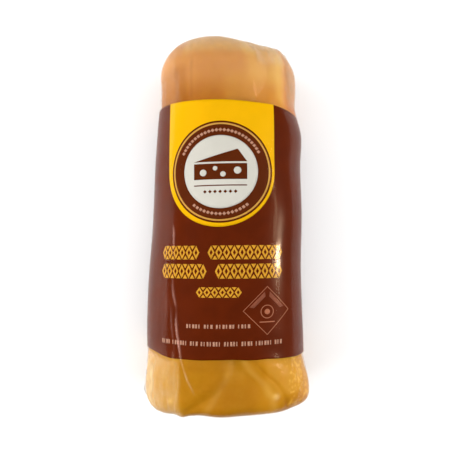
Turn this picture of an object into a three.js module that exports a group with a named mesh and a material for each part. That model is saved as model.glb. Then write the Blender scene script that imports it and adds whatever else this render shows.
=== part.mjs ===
// A braided block of smoked provolone, sealed in clear shrink film, with a
// printed label band round its middle. Millimetres, +Z up. The block lies on
// its flat underside with its length along Y. The origin is on the surface it
// lies on, at the centre of its outline.

import * as THREE from 'three';

// ---- Block -----------------------------------------------------------------

const LENGTH = 180;
const HALF_LENGTH = LENGTH / 2;
const THICKNESS = 50; // from the underside to the crown, at mid length
const THICKNESS_TAPER = 0.6; // lost at the +Y end and gained at the -Y end
const PRESSED_FLAT = 1; // how far the underside is pressed flat
const WIDEST_LEVEL = 0.42; // height of the widest line, as a share of thickness
const CROWN_EXPONENT = 2.25; // superellipse exponent above the widest line
const BASE_EXPONENT = 3.2; // and below it

// The sides as seen from above: [y, x] stations, joined by a smooth curve.
const LEFT_SIDE = [
  [-90, -39.6],
  [-74, -40.2],
  [-59, -39.8],
  [-35, -39],
  [-5, -36.7],
  [25, -35.3],
  [50, -33.6],
  [65, -32.7],
  [90, -31.8],
];
const RIGHT_SIDE = [
  [-90, 39.4],
  [-76, 39.6],
  [-61, 37.4],
  [-35, 35.9],
  [-5, 36.2],
  [25, 37.1],
  [40, 38.2],
  [54, 35.6],
  [65, 36.4],
  [90, 36.6],
];
const OUTLINE_CENTRE_X = -0.4; // moved onto the origin

// The crown leans sideways by these amounts at -Y, mid length and +Y, because
// the braid twists a little along its length.
const CROWN_LEAN = [2, 5.5, -4];

// Each end closes in a rounded cap, whose tip drifts sideways.
const FAR_CAP = { length: 20.3, exponent: 1.96, drift: -5.2 };
const NEAR_CAP = { length: 11.4, exponent: 4, drift: -5.3 };

// ---- Braid -----------------------------------------------------------------

const STRANDS = 3;
const BRAID_PITCH = 130; // length of one full turn of a strand
const BRAID_PHASE = THREE.MathUtils.degToRad(212.6);
const STRAND_SWAY = 19.8; // how far a strand swings to each side
const STRAND_WEAVE = 6; // how far it rises and dips
const STRAND_HALF_WIDTH = 18.6;
const STRAND_HALF_HEIGHT = 24;
const REFERENCE_HALF_WIDTH = 36; // half width that the sway belongs to

// Near the +Y end the strands run nearly straight. One is pressed into a broad
// dome and its right-hand neighbour into a narrow roll. The lists hold one
// value for each strand.
const FAR_END = {
  straightFrom: 45,
  turning: 0.35, // share of the usual turning that is left
  shapedFrom: 40,
  shapedFully: 72,
  swell: [-0.25, 0.4, 0],
  outward: [5, 0, 0],
  upward: [1, -2, 0],
};

// Near the -Y end one strand lags behind, and its neighbours spread in a V.
const NEAR_END = {
  lagFrom: -40,
  lagFully: -62,
  lag: [0, 0, THREE.MathUtils.degToRad(50)],
};

// Valleys between strands. The film presses them into a soft, shallow relief.
const FILL_UNDER_LABEL = 0.9;
const FILL_AT_ENDS = 0.1;
const FILL_STEPS = { nearFrom: -72, nearTo: -58, farFrom: 50, farTo: 64 };
const VALLEY_BLEND = 2;
const VALLEY_DEPTH_CROWN = 3.6;
const VALLEY_DEPTH_SIDE = 1.45;
const VALLEY_DEPTH_BASE = 0.9;

// ---- Label band --------------------------------------------------------------

const LABEL_FAR_EDGE = 51.1; // y of the band's +Y edge at the crown
const LABEL_NEAR_EDGE = -62.4; // and of its -Y edge
const LABEL_FAR_SKEW = -2.2; // how far each edge slants towards the right side
const LABEL_NEAR_SKEW = -1.5;
const LABEL_THICKNESS = 0.4;
const LABEL_INSET = 0.1; // outer face, below the bare block's surface
const LABEL_SQUEEZE = 1; // how far the band squeezes the block
const SQUEEZE_FADE = 5; // length over which the squeeze fades out

// ---- Mesh --------------------------------------------------------------------

const AROUND = 60;
const BLOCK_RINGS = 52;
const LABEL_RINGS = 13;

// ---- Curves ------------------------------------------------------------------

function smoothStep(from, to, value) {
  return THREE.MathUtils.smoothstep(value, from, to);
}

// Smooth minimum of two lengths, blended over the given width.
function smoothMin(a, b, width) {
  const share = THREE.MathUtils.clamp(0.5 + (0.5 * (b - a)) / width, 0, 1);
  return b * (1 - share) + a * share - width * share * (1 - share);
}

// Slope of a station list at one of its points.
function slopeAt(stations, index) {
  const before = stations[Math.max(index - 1, 0)];
  const after = stations[Math.min(index + 1, stations.length - 1)];
  return (after[1] - before[1]) / (after[0] - before[0]);
}

// Cubic curve through a list of [y, x] stations.
function throughStations(stations, y) {
  let index = 0;
  while (index < stations.length - 2 && y > stations[index + 1][0]) {
    index += 1;
  }
  const [y0, x0] = stations[index];
  const [y1, x1] = stations[index + 1];
  const span = y1 - y0;
  const t = (y - y0) / span;
  const rest = 1 - t;
  return (
    x0 * rest * rest * (1 + 2 * t) +
    x1 * t * t * (3 - 2 * t) +
    span * t * rest * rest * slopeAt(stations, index) -
    span * t * t * rest * slopeAt(stations, index + 1)
  );
}

// Share of the full section that is left inside a cap, from 1 down to 0.
function capShare(cap, distanceToTip) {
  const depth = THREE.MathUtils.clamp(1 - distanceToTip / cap.length, 0, 1);
  return (1 - depth ** cap.exponent) ** (1 / cap.exponent);
}

function crownLean(y) {
  const [near, middle, far] = CROWN_LEAN;
  const share = Math.abs(y) / HALF_LENGTH;
  return THREE.MathUtils.lerp(middle, y < 0 ? near : far, share);
}

// ---- Sections ----------------------------------------------------------------

// The section's box at one station: its centre, half width and two heights.
function sectionAt(y) {
  const left = throughStations(LEFT_SIDE, y);
  const right = throughStations(RIGHT_SIDE, y);
  const full = THICKNESS - (THICKNESS_TAPER * y) / HALF_LENGTH + PRESSED_FLAT;
  const widestZ = WIDEST_LEVEL * full;
  return {
    centreX: (left + right) / 2,
    halfWidth: (right - left) / 2,
    widestZ,
    crownHeight: full - widestZ,
    halfThickness: full / 2,
  };
}

// Radius of the smooth, unbraided section at one angle round its centre.
function smoothRadius(section, angle) {
  const above = Math.sin(angle) >= 0;
  const exponent = above ? CROWN_EXPONENT : BASE_EXPONENT;
  const height = above ? section.crownHeight : section.widestZ;
  const acrossTerm = Math.abs(Math.cos(angle) / section.halfWidth) ** exponent;
  const upTerm = Math.abs(Math.sin(angle) / height) ** exponent;
  return (acrossTerm + upTerm) ** (-1 / exponent);
}

// Where a strand stands in its turn at one station.
function strandTurn(strand, y) {
  const beyond = Math.max(y - FAR_END.straightFrom, 0);
  const run = y - beyond * (1 - FAR_END.turning);
  const lagging = 1 - smoothStep(NEAR_END.lagFully, NEAR_END.lagFrom, y);
  const turns = strand / STRANDS - run / BRAID_PITCH;
  return BRAID_PHASE + 2 * Math.PI * turns - NEAR_END.lag[strand] * lagging;
}

// Distance from the section's centre to the far side of one strand's ellipse.
function strandRadius(strand, section, y, angle) {
  const turn = strandTurn(strand, y);
  const shaping = smoothStep(FAR_END.shapedFrom, FAR_END.shapedFully, y);
  const swell = FAR_END.swell[strand] * shaping;
  const sway = STRAND_SWAY * Math.sin(turn) + FAR_END.outward[strand] * shaping;
  const rise = STRAND_WEAVE * Math.sin(2 * turn) + FAR_END.upward[strand] * shaping;
  const halfWidth = STRAND_HALF_WIDTH * (1 + swell);
  const halfHeight = STRAND_HALF_HEIGHT * (1 + swell / 2);
  const widening = section.halfWidth / REFERENCE_HALF_WIDTH;
  const centreX = (sway * widening) / halfWidth;
  const centreZ = rise / halfHeight;
  const alongX = Math.cos(angle) / halfWidth;
  const alongZ = Math.sin(angle) / halfHeight;
  const square = alongX ** 2 + alongZ ** 2;
  const middle = alongX * centreX + alongZ * centreZ;
  const inside = middle ** 2 - square * (centreX ** 2 + centreZ ** 2 - 1);
  return inside > 0 ? (middle + Math.sqrt(inside)) / square : 0;
}

function braidRadius(section, y, angle) {
  let radius = 0;
  for (let strand = 0; strand < STRANDS; strand += 1) {
    radius = Math.max(radius, strandRadius(strand, section, y, angle));
  }
  return radius;
}

function valleyLimit(angle) {
  const up = Math.sin(angle);
  const deepest = up > 0 ? VALLEY_DEPTH_CROWN : VALLEY_DEPTH_BASE;
  return THREE.MathUtils.lerp(VALLEY_DEPTH_SIDE, deepest, Math.abs(up));
}

// Depth of the braid's relief below the smooth section.
function valleyDepth(section, y, angle, radius) {
  const nearEnd = 1 - smoothStep(FILL_STEPS.nearFrom, FILL_STEPS.nearTo, y);
  const farEnd = smoothStep(FILL_STEPS.farFrom, FILL_STEPS.farTo, y);
  const ending = Math.max(nearEnd, farEnd);
  const fill = THREE.MathUtils.lerp(FILL_UNDER_LABEL, FILL_AT_ENDS, ending);
  const braid = braidRadius(section, y, angle) + fill;
  const depth = Math.max(radius - smoothMin(radius, braid, VALLEY_BLEND), 0);
  const limit = valleyLimit(angle);
  return limit * (1 - Math.exp(-depth / limit));
}

function labelEdges(angle) {
  return {
    near: LABEL_NEAR_EDGE + LABEL_NEAR_SKEW * Math.cos(angle),
    far: LABEL_FAR_EDGE + LABEL_FAR_SKEW * Math.cos(angle),
  };
}

// How far the label band squeezes the block at one point.
function squeezeAt(y, angle) {
  const edges = labelEdges(angle);
  const rise = smoothStep(edges.near - SQUEEZE_FADE, edges.near, y);
  const fall = 1 - smoothStep(edges.far, edges.far + SQUEEZE_FADE, y);
  return LABEL_SQUEEZE * rise * fall;
}

// ---- Surfaces ------------------------------------------------------------------

// A point at the given radius round the section, on or above the floor level.
function sectionPoint(section, y, angle, radius, floor) {
  const farShare = capShare(FAR_CAP, HALF_LENGTH - y);
  const nearShare = capShare(NEAR_CAP, HALF_LENGTH + y);
  const scaled = radius * farShare * nearShare;
  const up = scaled * Math.sin(angle);
  const lean = (crownLean(y) * up) / section.halfThickness;
  const drift = FAR_CAP.drift * (1 - farShare) + NEAR_CAP.drift * (1 - nearShare);
  const x = section.centreX + scaled * Math.cos(angle) + lean + drift;
  const z = section.widestZ + up - PRESSED_FLAT;
  return new THREE.Vector3(x - OUTLINE_CENTRE_X, y, Math.max(z, floor));
}

function blockPoint(y, angle) {
  const section = sectionAt(y);
  const radius = smoothRadius(section, angle);
  const squeeze = squeezeAt(y, angle);
  const depth = valleyDepth(section, y, angle, radius) + squeeze;
  return sectionPoint(section, y, angle, radius - depth, squeeze);
}

function labelPoint(along, angle, inset) {
  const edges = labelEdges(angle);
  const y = THREE.MathUtils.lerp(edges.near, edges.far, along);
  const section = sectionAt(y);
  const radius = smoothRadius(section, angle) - inset;
  return sectionPoint(section, y, angle, radius, inset);
}

// ---- Mesh building ---------------------------------------------------------------

function angleAt(index) {
  return (2 * Math.PI * index) / AROUND;
}

// Triangles between two rings of points; each ring starts at the given index.
function joinRings(triangles, first, second) {
  for (let i = 0; i < AROUND; i += 1) {
    const next = (i + 1) % AROUND;
    triangles.push(first + i, second + i, second + next);
    triangles.push(first + i, second + next, first + next);
  }
}

function geometryFrom(points, triangles) {
  const geometry = new THREE.BufferGeometry().setFromPoints(points);
  geometry.setIndex(triangles);
  geometry.computeVertexNormals();
  return geometry;
}

// The block: rings along its length, closed by a point at each end. The rings
// stand closer together towards the ends.
function blockGeometry() {
  const points = [blockPoint(-HALF_LENGTH, 0)];
  const triangles = [];
  for (let ring = 1; ring <= BLOCK_RINGS; ring += 1) {
    const share = (2 * ring) / (BLOCK_RINGS + 1) - 1;
    const y = HALF_LENGTH * Math.sin((share * Math.PI) / 2);
    for (let i = 0; i < AROUND; i += 1) {
      points.push(blockPoint(y, angleAt(i)));
    }
  }
  const lastRing = 1 + (BLOCK_RINGS - 1) * AROUND;
  const tip = points.push(blockPoint(HALF_LENGTH, 0)) - 1;
  for (let i = 0; i < AROUND; i += 1) {
    const next = (i + 1) % AROUND;
    triangles.push(0, 1 + i, 1 + next);
    triangles.push(tip, lastRing + next, lastRing + i);
  }
  for (let start = 1; start < lastRing; start += AROUND) {
    joinRings(triangles, start, start + AROUND);
  }
  return geometryFrom(points, triangles);
}

// The label band: an outer and an inner wall, joined at both edges.
function labelGeometry() {
  const points = [];
  const triangles = [];
  const insets = [LABEL_INSET, LABEL_INSET + LABEL_THICKNESS];
  for (const inset of insets) {
    for (let ring = 0; ring < LABEL_RINGS; ring += 1) {
      for (let i = 0; i < AROUND; i += 1) {
        points.push(labelPoint(ring / (LABEL_RINGS - 1), angleAt(i), inset));
      }
    }
  }
  const wall = LABEL_RINGS * AROUND;
  const lastRing = wall - AROUND;
  for (let start = 0; start < lastRing; start += AROUND) {
    joinRings(triangles, start, start + AROUND);
    joinRings(triangles, wall + start + AROUND, wall + start);
  }
  joinRings(triangles, wall, 0);
  joinRings(triangles, lastRing, wall + lastRing);
  return geometryFrom(points, triangles);
}

// ---- Materials and parts ----------------------------------------------------------

const smokedCheese = new THREE.MeshStandardMaterial({
  color: 0xcf8a46,
  roughness: 0.3,
  metalness: 0,
});

const printedLabel = new THREE.MeshStandardMaterial({
  color: 0x6a2410,
  roughness: 0.2,
  metalness: 0,
});

const cheeseInFilm = new THREE.Mesh(blockGeometry(), smokedCheese);
cheeseInFilm.name = 'cheese_in_film';

const label = new THREE.Mesh(labelGeometry(), printedLabel);
label.name = 'label';

const provolone = new THREE.Group();
provolone.add(cheeseInFilm, label);

export default provolone;
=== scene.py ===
"""Looks of a braided block of smoked provolone in clear shrink film, with a
printed label band. Lengths are in millimetres until a mesh is made."""

import math
from collections import namedtuple

import bpy
import numpy as np
from mathutils import Matrix, Vector


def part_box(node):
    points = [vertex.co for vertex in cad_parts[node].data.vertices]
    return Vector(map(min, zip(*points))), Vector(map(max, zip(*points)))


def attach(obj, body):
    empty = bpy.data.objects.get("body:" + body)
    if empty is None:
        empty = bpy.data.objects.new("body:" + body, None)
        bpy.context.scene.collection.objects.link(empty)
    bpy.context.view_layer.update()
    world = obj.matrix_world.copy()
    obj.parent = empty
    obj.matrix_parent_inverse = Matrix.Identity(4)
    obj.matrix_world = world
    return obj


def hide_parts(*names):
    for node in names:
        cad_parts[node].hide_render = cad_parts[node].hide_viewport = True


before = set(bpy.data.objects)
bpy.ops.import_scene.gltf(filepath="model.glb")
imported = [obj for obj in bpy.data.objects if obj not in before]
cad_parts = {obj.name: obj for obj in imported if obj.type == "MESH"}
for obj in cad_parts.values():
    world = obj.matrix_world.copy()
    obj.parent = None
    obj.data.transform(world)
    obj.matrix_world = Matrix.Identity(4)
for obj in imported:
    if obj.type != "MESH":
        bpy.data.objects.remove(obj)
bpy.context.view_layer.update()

MM = 0.001
BODY = "root"
BLOCK_NODE = "cheese_in_film"
LABEL_NODE = "label"

# ---- Form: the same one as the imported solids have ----

block_low, block_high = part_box(BLOCK_NODE)
HALF_LENGTH = (block_high.y - block_low.y) / 2 / MM
THICKNESS = 50
THICKNESS_TAPER = 0.6
PRESSED_FLAT = 1
WIDEST_LEVEL = 0.42
CROWN_EXPONENT = 2.25
BASE_EXPONENT = 3.2

# The sides as seen from above: (y, x) stations.
LEFT_SIDE = (
    (-90, -39.6), (-74, -40.2), (-59, -39.8), (-35, -39), (-5, -36.7), (25, -35.3),
    (50, -33.6), (65, -32.7), (90, -31.8),
)
RIGHT_SIDE = (
    (-90, 39.4), (-76, 39.6), (-61, 37.4), (-35, 35.9), (-5, 36.2), (25, 37.1), (40, 38.2),
    (54, 35.6), (65, 36.4), (90, 36.6),
)
OUTLINE_CENTRE_X = -0.4
CROWN_LEAN = (2, 5.5, -4)
LEAN_ROUNDING = 0.1

FAR_CAP = {"length": 20.3, "exponent": 1.96, "drift": -5.2}
NEAR_CAP = {"length": 11.4, "exponent": 4, "drift": -5.3}

BRAID_PITCH = 130
BRAID_PHASE = math.radians(212.6)
STRANDS = 3
STRAND_SWAY = 19.8
STRAND_WEAVE = 6
STRAND_HALF_WIDTH = 18.6
STRAND_HALF_HEIGHT = 24
REFERENCE_HALF_WIDTH = 36
FAR_END = {
    "straight_from": 45,
    "turning": 0.35,
    "shaped_from": 40,
    "shaped_fully": 72,
    "swell": (-0.25, 0.4, 0),
    "outward": (5, 0, 0),
    "upward": (1, -2, 0),
}
NEAR_END = {"lag_from": -40, "lag_fully": -62, "lag": (0, 0, math.radians(50))}

FILL_UNDER_LABEL = 0.9
FILL_AT_ENDS = 0.1
FILL_STEPS = {"near_from": -72, "near_to": -58, "far_from": 50, "far_to": 64}
VALLEY_BLEND = 2
VALLEY_DEPTH_CROWN = 3.6
VALLEY_DEPTH_SIDE = 1.45
VALLEY_DEPTH_BASE = 0.9

LABEL_FAR_EDGE = 51.1
LABEL_NEAR_EDGE = -62.4
# How much further along Y each edge lies, by degrees round the section.
FAR_EDGE_WAVE = (
    (15, -2.6), (28, -2.2), (38, -1.5), (46, -0.95), (53, -0.5), (62, -0.05), (75, 0.25),
    (90, 0.5), (108, 0.65), (122, 0.85), (135, 1.25), (160, 1.9), (200, 1.6), (340, -2.2),
)
NEAR_EDGE_WAVE = (
    (20, -0.95), (32, -0.95), (42, -0.55), (52, -0.15), (62, 0.2), (70, 0.05), (78, 0),
    (86, 0.2), (95, 0.35), (107, 0.34), (118, 0.12), (130, 0.1), (140, -0.1), (147, 0.25),
    (158, 1.3), (200, 1.2), (340, -1),
)

# Depths below the smooth, unbraided surface, for the layers of the pack.
LABEL_FACE = 0.1
LABEL_SHEET = 0.12
CHEESE_UNDER_LABEL = LABEL_FACE + LABEL_SHEET + 0.1
CHEESE_FADE = 2.5
FILM_OVER_LABEL = -0.12
TIP_GAP = 0.35


def smooth_step(start, end, value):
    share = np.clip((value - start) / (end - start), 0, 1)
    return share * share * (3 - 2 * share)


def smooth_min(a, b, width):
    share = np.clip(0.5 + 0.5 * (b - a) / width, 0, 1)
    return b * (1 - share) + a * share - width * share * (1 - share)


def through_stations(stations, y):
    """Cubic curve through (y, x) stations."""
    at, value = np.array(stations, float).T
    slope = np.gradient(value)
    slope[1:-1] = (value[2:] - value[:-2]) / (at[2:] - at[:-2])
    slope[0] = (value[1] - value[0]) / (at[1] - at[0])
    slope[-1] = (value[-1] - value[-2]) / (at[-1] - at[-2])
    index = np.clip(np.searchsorted(at, y) - 1, 0, len(at) - 2)
    span = at[index + 1] - at[index]
    t = (y - at[index]) / span
    rest = 1 - t
    return (
        value[index] * rest**2 * (1 + 2 * t)
        + value[index + 1] * t**2 * (3 - 2 * t)
        + span * t * rest**2 * slope[index]
        - span * t**2 * rest * slope[index + 1]
    )


def cap_share(cap, distance_to_tip):
    depth = np.clip(1 - distance_to_tip / cap["length"], 0, 1)
    return (1 - depth ** cap["exponent"]) ** (1 / cap["exponent"])


def crown_lean(y):
    near, middle, far = CROWN_LEAN
    share = y / HALF_LENGTH
    farther = (share + np.sqrt(share**2 + LEAN_ROUNDING**2)) / 2
    return middle + (far - middle) * farther + (near - middle) * (farther - share)


def section_at(y):
    left = through_stations(LEFT_SIDE, y)
    right = through_stations(RIGHT_SIDE, y)
    full = THICKNESS - THICKNESS_TAPER * y / HALF_LENGTH + PRESSED_FLAT
    return {
        "centre_x": (left + right) / 2,
        "half_width": (right - left) / 2,
        "widest_z": WIDEST_LEVEL * full,
        "crown_height": (1 - WIDEST_LEVEL) * full,
        "half_thickness": full / 2,
    }


def smooth_radius(section, angle):
    above = np.sin(angle) >= 0
    exponent = np.where(above, CROWN_EXPONENT, BASE_EXPONENT)
    height = np.where(above, section["crown_height"], section["widest_z"])
    across = np.abs(np.cos(angle) / section["half_width"]) ** exponent
    up = np.abs(np.sin(angle) / height) ** exponent
    return (across + up) ** (-1 / exponent)


def smooth_section(y, angle):
    """A section of the block, and its radius before the braid is pressed in."""
    section = section_at(y)
    return section, smooth_radius(section, angle)


def strand_radius(strand, section, y, angle):
    beyond = np.maximum(y - FAR_END["straight_from"], 0)
    run = y - beyond * (1 - FAR_END["turning"])
    lagging = 1 - smooth_step(NEAR_END["lag_fully"], NEAR_END["lag_from"], y)
    turn = BRAID_PHASE + 2 * np.pi * (strand / STRANDS - run / BRAID_PITCH)
    turn = turn - NEAR_END["lag"][strand] * lagging
    shaping = smooth_step(FAR_END["shaped_from"], FAR_END["shaped_fully"], y)
    swell = FAR_END["swell"][strand] * shaping
    sway = STRAND_SWAY * np.sin(turn) + FAR_END["outward"][strand] * shaping
    rise = STRAND_WEAVE * np.sin(2 * turn) + FAR_END["upward"][strand] * shaping
    half_width = STRAND_HALF_WIDTH * (1 + swell)
    half_height = STRAND_HALF_HEIGHT * (1 + swell / 2)
    widening = section["half_width"] / REFERENCE_HALF_WIDTH
    centre_x = sway * widening / half_width
    centre_z = rise / half_height
    along_x = np.cos(angle) / half_width
    along_z = np.sin(angle) / half_height
    square = along_x**2 + along_z**2
    middle = along_x * centre_x + along_z * centre_z
    inside = middle**2 - square * (centre_x**2 + centre_z**2 - 1)
    reach = (middle + np.sqrt(np.maximum(inside, 0))) / square
    return np.where(inside > 0, reach, 0)


def braid_radius(section, y, angle, blend):
    outermost = strand_radius(0, section, y, angle)
    for strand in range(1, STRANDS):
        reach = strand_radius(strand, section, y, angle)
        outermost = -smooth_min(-outermost, -reach, blend)
    return outermost


def valley_limit(angle):
    up = np.sin(angle)
    deepest = np.where(up > 0, VALLEY_DEPTH_CROWN, VALLEY_DEPTH_BASE)
    return VALLEY_DEPTH_SIDE + (deepest - VALLEY_DEPTH_SIDE) * np.abs(up)


# On the crown of each end the strands lie turned a little, and are pressed softer.
CROWN_TURN = {"near": 0.19, "far": 0.2}
CROWN_SOFTNESS = {"near": 0.4, "far": 0.72}


def relief(section, y, angle, radius, blend=VALLEY_BLEND, fill=None):
    """Depth of the braid below the smooth section."""
    near = 1 - smooth_step(FILL_STEPS["near_from"], FILL_STEPS["near_to"], y)
    far = smooth_step(FILL_STEPS["far_from"], FILL_STEPS["far_to"], y)
    if fill is None:
        ending = np.maximum(near, far)
        fill = FILL_UNDER_LABEL + (FILL_AT_ENDS - FILL_UNDER_LABEL) * ending
    crown = np.maximum(np.sin(angle), 0) ** 2
    turn = (CROWN_TURN["near"] * near + CROWN_TURN["far"] * far) * crown
    softness = (CROWN_SOFTNESS["near"] * near + CROWN_SOFTNESS["far"] * far) * crown
    braid = braid_radius(section, y, angle + turn, 0.6 * blend) + fill
    depth = np.maximum(radius - smooth_min(radius, braid, blend), 0)
    limit = valley_limit(angle)
    return limit * (1 - np.exp(-depth / limit)) * (1 - softness)


def edge_wave(wave, angle):
    at, reach = np.array(wave, float).T
    return np.interp(np.degrees(angle), at, reach, period=360)


def label_edges(angle):
    near = LABEL_NEAR_EDGE + edge_wave(NEAR_EDGE_WAVE, angle)
    far = LABEL_FAR_EDGE + edge_wave(FAR_EDGE_WAVE, angle)
    return near, far


def under_label(y, angle, fade):
    """1 where the label covers the block, fading to 0 beyond its edges."""
    near, far = label_edges(angle)
    return smooth_step(near - fade, near, y) * (1 - smooth_step(far, far + fade, y))


# How much further each end reaches than an even cap: (x, distance) stations.
FAR_REACH = (
    (-40, 0.8), (-28, 1.2), (-19, 1.1), (-3, 0.9), (2, 0.3), (6, -0.2), (14, -0.9),
    (19, -0.5), (23, 0.7), (27, 2.4), (30, 1.9), (34, 0.3), (40, -0.2),
)
NEAR_REACH = (
    (-42, 0.8), (-34, 1.9), (-29, 1.7), (-24, 0.7), (-20, 1), (-17, -0.1), (-12, -0.9),
    (-5, -0.4), (5, -0.2), (14, -0.1), (24, 0.3), (30, -0.3), (40, 0.6),
)


def end_reach(x, y):
    far = through_stations(FAR_REACH, np.clip(x, -40, 40)) * smooth_step(62, 88, y)
    near = through_stations(NEAR_REACH, np.clip(x, -42, 40)) * (1 - smooth_step(-88, -66, y))
    return far - near


def section_point(section, y, angle, radius, floor):
    far_share = cap_share(FAR_CAP, HALF_LENGTH - y)
    near_share = cap_share(NEAR_CAP, HALF_LENGTH + y)
    scaled = radius * far_share * near_share
    up = scaled * np.sin(angle)
    lean = crown_lean(y) * up / section["half_thickness"]
    drift = FAR_CAP["drift"] * (1 - far_share) + NEAR_CAP["drift"] * (1 - near_share)
    x = section["centre_x"] + scaled * np.cos(angle) + lean + drift
    z = section["widest_z"] + up - PRESSED_FLAT
    x = x - OUTLINE_CENTRE_X
    return np.stack([x, y + end_reach(x, y), np.maximum(z, floor)], -1)


def skin_place(y, angle):
    section, radius = smooth_section(y, angle)
    return section_point(section, y, angle, radius, 0)


def off_face(y):
    """1 along the block, fading to 0 towards the middle of each end's face."""
    share = cap_share(FAR_CAP, HALF_LENGTH - y) * cap_share(NEAR_CAP, HALF_LENGTH + y)
    return smooth_step(0.4, 0.8, share)


# ---- Noise for uneven surfaces ----


def lattice_noise(points, cell, seed):
    """Smooth noise from -1 to 1 at each point, with cells of the given size."""
    size = 48
    table = np.random.RandomState(seed).uniform(-1, 1, (size, size, size))
    cells = points / cell
    base = np.floor(cells).astype(int)
    share = cells - base
    share = share * share * (3 - 2 * share)
    total = np.zeros(points.shape[:-1])
    for corner in np.ndindex(2, 2, 2):
        index = (base + corner) % size
        weight = np.prod(np.where(corner, share, 1 - share), axis=-1)
        total += weight * table[index[..., 0], index[..., 1], index[..., 2]]
    return total


# ---- Layers ----


# Lines where strands meet: where each runs, as (y, degrees round the section), its
# half width, how far it stands up, how much paler or darker the rind is painted there,
# and how milky the film over it is. The paler and darker tones are mostly painted
# light and shade, and the milkiness partly painted sheen.
Seam = namedtuple("Seam", "path width height tone milk")
LEFT_SEAM = (
    (-89, 119), (-82.3, 110), (-79, 106.5), (-75.3, 102), (-70.6, 97), (-66.4, 93.5),
    (-62, 90.5), (-56, 86),
)
RIGHT_SEAM = ((-89, 41), (-80.5, 46.5), (-77.5, 49.5), (-73, 55), (-67.3, 66), (-56, 82))
RIGHT_BAND = ((-89, 52), (-80, 57), (-73, 64.7), (-67.3, 75.5), (-62.7, 81), (-56, 90))
FAR_SEAM = ((50, 61), (57.5, 59.7), (64.5, 58), (72, 55.4), (78, 53), (88, 44))
FAR_ROLL = ((50, 43.5), (56.7, 43.5), (65.5, 43.5), (76.5, 39), (88, 34))
FAR_STREAK = ((48, 137), (59, 137.3), (66, 136.9), (70, 136.5))
FAR_FINE_STREAK = ((48, 122), (55, 121.8), (66, 121.3), (74, 119))
SEAMS = (
    # Tones: the left seam and the right band are painted highlights along ridges, the right seam
    # is painted shade in its valley, the far roll carries a painted highlight and the far valley a
    # faint painted light; the two far streaks are darker lines.
    Seam(LEFT_SEAM, 1.8, 0.16, 0.14, 0.02),
    Seam(RIGHT_SEAM, 1, -0.32, -0.12, 0),
    Seam(RIGHT_BAND, 1.9, 0.2, 0.26, 0.02),
    Seam(FAR_SEAM, 3, -0.15, 0.05, 0.02),
    Seam(FAR_ROLL, 2.8, 0.2, 0.4, 0.03),
    Seam(FAR_STREAK, 1.7, -0.1, -0.16, 0.04),
    Seam(FAR_FINE_STREAK, 0.8, -0.08, -0.12, 0.02),
)
SEAM_START = 5


def beside(path, y, angle, radius):
    """Distance round the section from a path."""
    at, degrees = np.array(path, float).T
    return (angle - np.radians(np.interp(y, at, degrees))) * radius


def seam_weight(seam, y, angle, radius):
    first = seam.path[0][0]
    last = seam.path[-1][0]
    starting = smooth_step(first - 1, first + SEAM_START, y)
    ending = smooth_step(last - SEAM_START, last + 1, y)
    aside = beside(seam.path, y, angle, radius)
    return np.exp(-((aside / seam.width) ** 2)) * (starting * (1 - ending)) * off_face(y)


def seam_sum(quantity, y, angle, radius):
    """The height, tone or milk of all the seams at each point."""
    return sum(getattr(seam, quantity) * seam_weight(seam, y, angle, radius) for seam in SEAMS)


def patch_weight(y, angle, spans, edges):
    """1 inside spans of y and of degrees, fading over the given edges."""
    (y_from, y_to), (from_angle, to_angle) = spans
    y_edge, angle_edge = edges
    degrees = np.degrees(angle)
    along = smooth_step(y_from - y_edge, y_from, y) * (1 - smooth_step(y_to, y_to + y_edge, y))
    around = smooth_step(from_angle - angle_edge, from_angle, degrees)
    around = around * (1 - smooth_step(to_angle, to_angle + angle_edge, degrees))
    return along * around * off_face(y)


def patch_sum(patches, y, angle, start=0):
    """The amounts of the patches that cover each point, added to start."""
    amounts = (
        amount * patch_weight(y, angle, spans, edges) for spans, edges, amount in patches
    )
    return sum(amounts, start)


# Patches where the rind is painted paler or darker, mostly painted light and painted
# shade: spans of y and degrees, soft edges, tone.
PAINTED_LIGHT_AND_TONE_PATCHES = (
    # Painted sheen of the film over the near end's left lobe.
    (((-95, -60), (136, 205)), (3, 5), 0.3),
    (((-95, -60), (116, 129)), (3, 4), -0.06),
    (((-95, -74), (74, 98)), (7, 9), -0.08),
    (((-72, -60), (83, 95)), (4, 6), 0.1),
    # Painted light on the near end's right side.
    (((-77, -62), (34, 60)), (4, 6), 0.2),
    # Painted shadow under the label's near edge.
    (((-66, -56), (84, 124)), (2.5, 6), -0.13),
    # Painted sheen on the far crown, where it turns away.
    (((77, 95), (66, 126)), (5, 9), 0.4),
    (((-95, -82), (10, 44)), (5, 8), -0.2),
    # Painted shade on the far end's right side.
    (((50, 95), (-20, 32)), (4, 8), -0.3),
    # Painted shade on the far end's left side, above the label.
    (((50, 66), (130, 205)), (6, 8), -0.28),
    # Painted shadow just above the label's far edge.
    (((50, 54), (104, 126)), (10, 14), -0.18),
    # This and the next two: painted highlight on the far right roll.
    (((48, 60), (42, 86)), (8, 12), 0.16),
    (((66, 95), (44, 66)), (8, 10), 0.34),
    (((72, 95), (18, 44)), (6, 8), 0.16),
)


# Painted glints: paler grains painted on the rind for the glints of the wrinkled film
# over it: spans of y and degrees, soft edges, tone, and the size of a grain.
PAINTED_GLINTS = (
    (((-83, -65), (22, 43)), (4, 4), 0.7, 1.3),
    (((-90, -60), (140, 200)), (4, 8), 0.12, 2),
)
# A glint grain's share of its size along X, Y and Z, and how the second, smaller set
# of glint grains is turned against the first.
GRAIN_SHAPE = (1, 0.6, 1)
GRAIN_TURN = np.array(Matrix.Rotation(0.8, 3, Vector((1, 1, 0.5))))
SECOND_GRAIN = 0.8
# The painted glint under a blister: how much paler the rind is painted there, for
# each share of its milkiness.
BLISTER_PAINTED_GLINT = 4


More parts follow.
